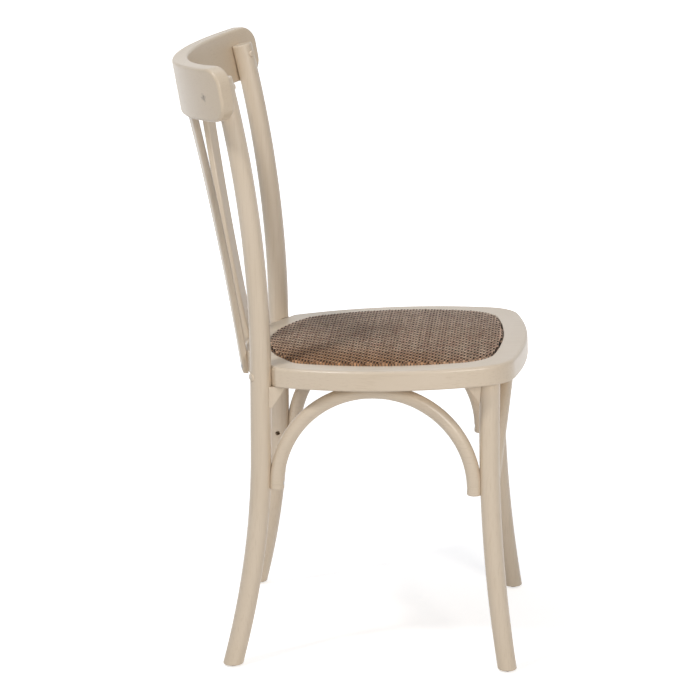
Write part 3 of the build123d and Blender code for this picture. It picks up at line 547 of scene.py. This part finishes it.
shared = {
    "Panel": panel, "Centre": centre, "Sink": 0.7 * mm, "Thickness": 1.1 * mm, "Material": rattan}
strips_across = woven_set("seat_strips_across", {
    **shared, "Along": Vector((1, 0, 0)), "Across": down_the_seat,
    "Pitch": PITCH, "Count": STRIP_COUNT, "Cross Pitch": CROSS_PITCH, "Cross Count": CROSS_COUNT,
    "Lift": 0.9 * mm, "Width": 4.2 * mm, "Overrun": 0.3 * mm, "Calm Ends": 0.02,
    "Dot From": 0.002, "Dot To": 0.045, "Edge Mark": 1.0, "Samples": 210, "Seed": 3})
strips_along = woven_set("seat_strips_along", {
    **shared, "Along": down_the_seat, "Across": Vector((1, 0, 0)),
    "Pitch": CROSS_PITCH, "Count": CROSS_COUNT, "Cross Pitch": PITCH, "Cross Count": STRIP_COUNT,
    "Lift": -0.7 * mm, "Width": 3.0 * mm, "Overrun": -1.5 * mm, "Calm Ends": 0.005,
    "Dot From": 0.8, "Dot To": 0.97, "Edge Mark": 0.0, "Samples": 170, "Seed": 8})
for piece in (strips_across, strips_along):
    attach(piece, "root")
    size = [round(x / mm, 1) for x in piece.dimensions]
    print(piece.name, len(piece.data.polygons), "faces,", size, "mm")

# %% [markdown]
# Under the strips lies a dark backing sheet, which is what shows through the holes; its darkness is
# painted shade for the holes between the strips. It has the panel's own crowned form, a little
# smaller all round and lower at the top, so it starts as a copy of the CAD solid. The CAD mesh is
# loose triangles, so the copy is merged before its points move.

# %% Backing under the weave
SHRINK = 1.0 * mm
TOP_ZONE = 3 * mm
TOP_DROP = 2.0 * mm
BACKING_MARK = (1.5 * mm,) * 3
backing_mesh = panel.data.copy()
shape = bmesh.new()
shape.from_mesh(backing_mesh)
bmesh.ops.remove_doubles(shape, verts=shape.verts, dist=0.001 * mm)
for vertex in shape.verts:
    flat_way = Vector((vertex.co.x, vertex.co.y - middle_y, 0))
    vertex.co -= flat_way.normalized() * SHRINK
    if vertex.co.z > SEAT_HEIGHT - SLOPE * vertex.co.y - TOP_ZONE:
        vertex.co.z -= TOP_DROP
shape.to_mesh(backing_mesh)
shape.free()
backing = bpy.data.objects.new("seat_backing", backing_mesh)
bpy.context.scene.collection.objects.link(backing)
# The backing's two dark tones are painted shade for the holes in the weave.
shade_backing, _, shader, _ = two_toned("Dark backing, painted shade", BACKING_MARK, 2.0, "#2b211b", "#1c1511")
feed(shader, {"Roughness": 0.9})
backing_mesh.materials.clear()
backing_mesh.materials.append(shade_backing)
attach(backing, "root")
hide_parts("seat_weave")
print("backing:", len(backing_mesh.polygons), "faces")

# %% [markdown]
# ## A white studio
# A pale paper floor carries the chair's soft shadow. The backdrop is the world itself: rays from the
# camera and mirror-like reflections see plain white, while the light that falls on the chair stays
# softer. The floor adds a glow of its own for the same rays, weaker near the chair, so that the
# shadow stays and the floor's far end runs into the white.

# %% Floor
FLOOR_HALF = 30.0
NEAR, FAR = 0.6, 2.2
GLOW_NEAR, GLOW_FAR = 0.62, 1.0
WHITE = (1, 1, 1, 1)


def seen_directly(tree):
    """1 where the camera, a gloss or clear glass looks, and 0 for light on its way to the chair."""
    path = add(tree, "ShaderNodeLightPath").outputs
    seen = path["Is Camera Ray"]
    for way in ("Is Glossy Ray", "Is Transmission Ray"):
        seen = add(tree, "ShaderNodeMath", {0: seen, 1: path[way]}, operation="MAXIMUM")
    return seen


floor_mesh = bpy.data.meshes.new("floor")
corners = [(FLOOR_HALF * x, FLOOR_HALF * y, 0) for x, y in ((-1, -1), (1, -1), (1, 1), (-1, 1))]
floor_mesh.from_pydata(corners, [], [(0, 1, 2, 3)])
floor = bpy.data.objects.new("floor", floor_mesh)
bpy.context.scene.collection.objects.link(floor)
paper, tree, shader, place = new_material("White paper floor")
far_off = add(tree, "ShaderNodeVectorMath", {0: place}, operation="LENGTH")
lit = add(tree, "ShaderNodeMapRange", {
    "Value": far_off, "From Min": NEAR, "From Max": FAR, "To Min": GLOW_NEAR, "To Max": GLOW_FAR})
glow = add(tree, "ShaderNodeMath", {0: seen_directly(tree), 1: lit}, operation="MULTIPLY")
feed(shader, {
    "Base Color": colour("#f2f0ed"), "Roughness": 0.9,
    "Emission Color": WHITE, "Emission Strength": glow})
floor_mesh.materials.append(paper)
print("floor:", 2 * FLOOR_HALF, "m wide")

# %% [markdown]
# The world's own light is weak and a little cool, as daylight from a large window is.

# %% World
SKY_LIGHT = 0.27
SKY_TINT = colour("#f1f5ff")
world = bpy.data.worlds.new("White studio")
bpy.context.scene.world = world
world.use_nodes = True
tree = world.node_tree
seen = seen_directly(tree)
strength = add(tree, "ShaderNodeMapRange", {"Value": seen, "To Min": SKY_LIGHT, "To Max": 1.0})
tint = add(tree, "ShaderNodeMix", {"Factor": seen, "A": SKY_TINT, "B": WHITE}, data_type="RGBA")
feed(tree.nodes["Background"], {"Color": tint, "Strength": strength})
print("world light:", SKY_LIGHT)

# %% [markdown]
# Three soft lamps do the rest: a main one high on the left, behind the chair, whose light lays the
# post's soft shadow across the seat; a wide, slightly warm one to the right of the camera, which
# draws a line of light down each round post; and a weak, cool one overhead for the tops of the rail
# and the seat. Each has a place and a width in metres, a power in watts and a tint.

# %% Lamps
LAMPS = (
    ("main softbox", (-1.5, 1.6, 3.5), 0.5, 54.0, "#ffffff"),
    ("side softbox", (-3.2, -1.7, 1.7), 1.0, 51.0, "#fffbf6"),
    ("overhead softbox", (0.6, 0.2, 3.2), 1.6, 9.0, "#e8f1ff"),
)
LAMP_AIM = Vector((0, 0, 0.45))
for name, spot, width, power, tint in LAMPS:
    lamp = bpy.data.lights.new(name, "AREA")
    lamp.shape = "SQUARE"
    lamp.size = width
    lamp.energy = power
    lamp.color = colour(tint)[:3]
    holder = bpy.data.objects.new(name, lamp)
    bpy.context.scene.collection.objects.link(holder)
    holder.location = spot
    holder.rotation_mode = "QUATERNION"
    holder.rotation_quaternion = (LAMP_AIM - Vector(spot)).to_track_quat("-Z", "Y")
print("lamps:", [entry[0] for entry in LAMPS])

# %% [markdown]
# ## Camera
# The photograph looks at the chair's right side from a little above, turned a few degrees towards
# the front, through a long lens. The place was worked out from the chair's own sizes.

# %% Camera
TARGET = Vector((0, 2.3 * mm, 416.5 * mm))
DISTANCE = 5.4
TURN = math.radians(3.6)
RISE = math.radians(13.5)
FOCAL_PIXELS = 3719
FRAME_PIXELS = 700
SENSOR = 36.0
SIGHT = 100.0
back = Vector((
    -math.cos(TURN) * math.cos(RISE), -math.sin(TURN) * math.cos(RISE), math.sin(RISE)))
camera_data = bpy.data.cameras.new("camera")
camera_data.sensor_width = SENSOR
camera_data.lens = SENSOR * FOCAL_PIXELS / FRAME_PIXELS
camera_data.clip_end = SIGHT
camera = bpy.data.objects.new("camera", camera_data)
bpy.context.scene.collection.objects.link(camera)
camera.location = TARGET + back * DISTANCE
camera.rotation_mode = "QUATERNION"
camera.rotation_quaternion = (-back).to_track_quat("-Z", "Y")
bpy.context.scene.camera = camera
bpy.context.scene.view_settings.view_transform = "Standard"
print("camera:", [round(x, 3) for x in camera.location], "lens", round(camera_data.lens, 1))
